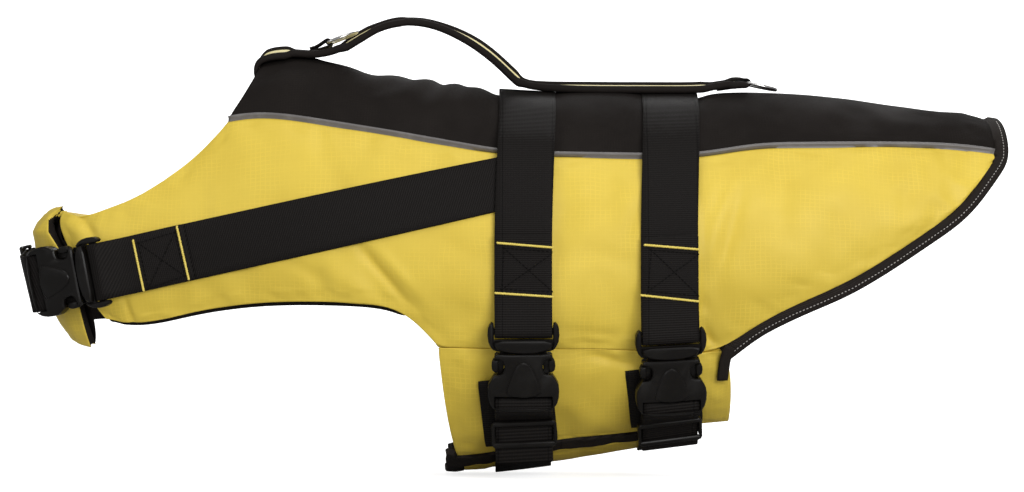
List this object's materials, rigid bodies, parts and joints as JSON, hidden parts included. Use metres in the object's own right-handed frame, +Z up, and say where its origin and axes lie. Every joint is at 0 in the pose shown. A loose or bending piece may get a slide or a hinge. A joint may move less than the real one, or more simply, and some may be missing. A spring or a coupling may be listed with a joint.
{
  "type": "dog life jacket",
  "caption": "Padded dog life jacket in its worn form, with side and belly panels, webbing straps, side-release buckles, a back handle and leash rings.",
  "frame": {"origin": "lining face of the back panel on the spine, where the jacket rests on its wearer", "axes": "+X to the tail, +Z up, the girth buckles on the -Y side"},
  "size_m": [0.6873, 0.2209, 0.3188],
  "materials": {
    "yellow_cloth": "coated ripstop weave",
    "pale_yellow_cloth": "smooth weave",
    "black_cloth": "plain weave",
    "grey_piping": "reflective woven cord cover",
    "webbing": "ribbed nylon webbing",
    "buckle_plastic": "satin moulded plastic",
    "ring_steel": "plated wire"
  },
  "bodies": {
    "jacket": {"side_panel_near": "yellow_cloth", "side_panel_far": "yellow_cloth", "flap_near": "yellow_cloth", "flap_far": "yellow_cloth", "belly_panel": "yellow_cloth", "handle_band": "pale_yellow_cloth", "back_panel": "black_cloth", "lining_near": "black_cloth", "lining_far": "black_cloth", "tail_binding": "black_cloth", "binding_tail_near": "black_cloth", "binding_tail_far": "black_cloth", "belly_binding": "black_cloth", "neck_elastic": "black_cloth", "handle_piping_near": "black_cloth", "handle_piping_far": "black_cloth", "piping_near": "grey_piping", "piping_far": "grey_piping", "tape_front": "webbing", "tape_rear": "webbing", "girth_strap_front": "webbing", "girth_strap_rear": "webbing", "belly_strap_front": "webbing", "belly_strap_rear": "webbing", "chest_strap_near": "webbing", "chest_strap_far": "webbing", "ring_loop_front": "webbing", "ring_loop_rear": "webbing", "buckle_male_front": "buckle_plastic", "buckle_female_front": "buckle_plastic", "buckle_male_rear": "buckle_plastic", "buckle_female_rear": "buckle_plastic", "buckle_male_chest": "buckle_plastic", "buckle_female_chest": "buckle_plastic", "slider_front": "buckle_plastic", "slider_rear": "buckle_plastic", "slider_chest": "buckle_plastic"},
    "ring_front": {"ring_front": "ring_steel"},
    "ring_rear": {"ring_rear": "ring_steel"}
  },
  "joints": [
    {"name": "ring_front_swing", "type": "hinge", "parent": "jacket", "child": "ring_front", "pos_m": [-0.1904, 0, 0.0434], "axis": [0, -1, 0], "range_deg": [0, 150]},
    {"name": "ring_rear_swing", "type": "hinge", "parent": "jacket", "child": "ring_rear", "pos_m": [0.102, 0, 0.0154], "axis": [0, -1, 0], "range_deg": [0, 165]}
  ]
}
